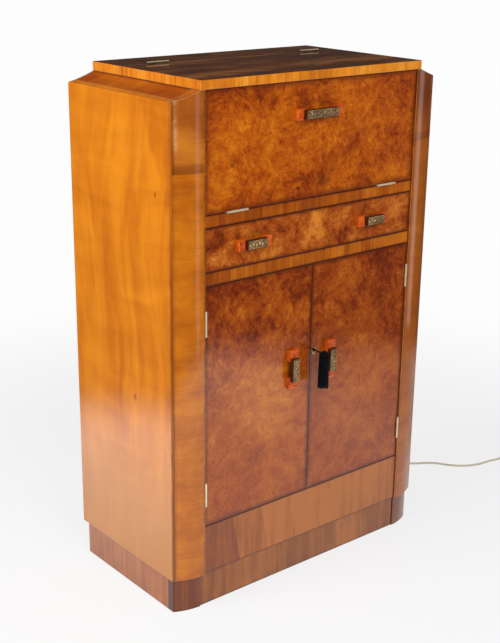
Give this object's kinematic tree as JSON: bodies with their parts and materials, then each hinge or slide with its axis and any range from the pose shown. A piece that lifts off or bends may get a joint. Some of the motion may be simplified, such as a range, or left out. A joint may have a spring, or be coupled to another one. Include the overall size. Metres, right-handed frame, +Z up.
{
  "type": "bar cabinet",
  "caption": "Floor-standing bar cabinet: lift-up lid and fall front over a mirrored, lit bar, a drawer, and a cupboard with two doors, on a recessed plinth.",
  "frame": {"origin": "on the floor, under the middle of the cabinet's box without its flex and plug", "axes": "+Z up, +X to the viewer's right when facing the doors, -Y towards the viewer"},
  "size_m": [1.4222, 0.5681, 1.2759],
  "materials": {
    "side_veneer": "polished figured walnut veneer",
    "front_veneer": "polished burr walnut veneer",
    "pilaster_veneer": "polished burr walnut veneer",
    "rail_veneer": "polished cross-banded walnut",
    "top_veneer": "dark polished walnut",
    "plinth_veneer": "polished walnut",
    "carcass_wood": "stained timber",
    "back_ply": "stained plywood",
    "drawer_wood": "clear finished oak",
    "brass": "satin brass",
    "key_steel": "dulled steel",
    "handle_resin": "amber-red cast resin",
    "handle_bar": "dark resin with a stamped strip",
    "silk": "black silk threads",
    "mirror_glass": "silvered glass",
    "lamp_body": "cream enamel",
    "lamp_glass": "frosted glass",
    "toggle": "brown resin",
    "flex": "cream flex",
    "plug_shell": "cream plug"
  },
  "bodies": {
    "cabinet": {"side_panel_left": "side_veneer", "side_panel_right": "side_veneer", "inner_side_left": "carcass_wood", "inner_side_right": "carcass_wood", "pilaster_left": "pilaster_veneer", "pilaster_right": "pilaster_veneer", "shoulder_left": "side_veneer", "shoulder_right": "side_veneer", "top_strip": "top_veneer", "back_panel": "back_ply", "bottom_board": "carcass_wood", "bottom_rail": "rail_veneer", "mid_rail": "rail_veneer", "dust_board": "carcass_wood", "bar_rail": "rail_veneer", "bar_floor": "carcass_wood", "plinth_front": "plinth_veneer", "plinth_frame": "carcass_wood", "plinth_corners": "plinth_veneer", "cupboard_shelf": "carcass_wood", "shelf_studs": "brass", "mirror_lining": "mirror_glass", "lamp_bracket": "lamp_body", "lamp_tube": "lamp_glass", "lamp_caps": "lamp_body", "lamp_lead": "flex", "cord_grommet": "flex", "carcass_hinge_leaves": "brass", "stay_keepers": "brass", "cord_run": "flex", "cord_coil": "flex", "plug": "plug_shell"},
    "lid": {"lid_panel": "top_veneer", "lid_hinge_leaves": "brass"},
    "fall": {"fall_panel": "front_veneer", "fall_hinge_leaves": "brass", "fall_stays": "brass", "fall_handle_blocks": "handle_resin", "fall_handle_bar": "handle_bar"},
    "drawer": {"drawer_front": "front_veneer", "drawer_sides": "drawer_wood", "drawer_back": "drawer_wood", "drawer_bottom": "drawer_wood", "drawer_handle_blocks": "handle_resin", "drawer_handle_bars": "handle_bar"},
    "left_door": {"door_left_panel": "front_veneer", "door_left_hinge_leaves": "brass", "door_left_handle_blocks": "handle_resin", "door_left_handle_bar": "handle_bar", "door_left_bolt_plate": "brass"},
    "left_bolt": {"door_left_bolt": "brass"},
    "right_door": {"door_right_panel": "front_veneer", "door_right_hinge_leaves": "brass", "door_right_handle_blocks": "handle_resin", "door_right_handle_bar": "handle_bar", "door_lock": "brass"},
    "lock_bolt": {"lock_bolt": "brass"},
    "key": {"key": "key_steel"},
    "tassel": {"tassel": "silk"},
    "toggle": {"switch_toggle": "toggle"}
  },
  "joints": [
    {"name": "lid_hinge", "type": "hinge", "parent": "cabinet", "child": "lid", "pos_m": [0, 0.1092, 1.2734], "axis": [-1, 0, 0], "range_deg": [0, 100]},
    {"name": "fall_hinge", "type": "hinge", "parent": "cabinet", "child": "fall", "pos_m": [0, -0.1869, 0.9763], "axis": [1, 0, 0], "range_deg": [0, 90]},
    {"name": "drawer_slide", "type": "slide", "parent": "cabinet", "child": "drawer", "axis": [0, -1, 0], "range_m": [0, 0.26]},
    {"name": "left_door_hinge", "type": "hinge", "parent": "cabinet", "child": "left_door", "pos_m": [-0.3228, -0.1869, 0.514], "axis": [0, 0, -1], "range_deg": [0, 110]},
    {"name": "right_door_hinge", "type": "hinge", "parent": "cabinet", "child": "right_door", "pos_m": [0.3228, -0.1869, 0.514], "axis": [0, 0, 1], "range_deg": [0, 110]},
    {"name": "left_bolt_slide", "type": "slide", "parent": "left_door", "child": "left_bolt", "axis": [0, 0, 1], "range_m": [0, 0.01]},
    {"name": "key_turn", "type": "hinge", "parent": "right_door", "child": "key", "pos_m": [0.011, -0.2215, 0.592], "axis": [0, 1, 0], "range_deg": [0, 90]},
    {"name": "bolt_throw", "type": "slide", "parent": "right_door", "child": "lock_bolt", "axis": [-1, 0, 0], "range_m": [0, 0.009]},
    {"name": "tassel_swing", "type": "hinge", "parent": "right_door", "child": "tassel", "pos_m": [0.011, -0.2215, 0.592], "axis": [0, 1, 0], "range_deg": [-15, 15]},
    {"name": "lamp_switch", "type": "hinge", "parent": "cabinet", "child": "toggle", "pos_m": [0.149, 0.1675, 1.2147], "axis": [-1, 0, 0], "range_deg": [0, 24]}
  ],
  "couplings": [
    {"joint": "key_turn", "follows": "bolt_throw", "rad_per_m": 174.5}
  ]
}
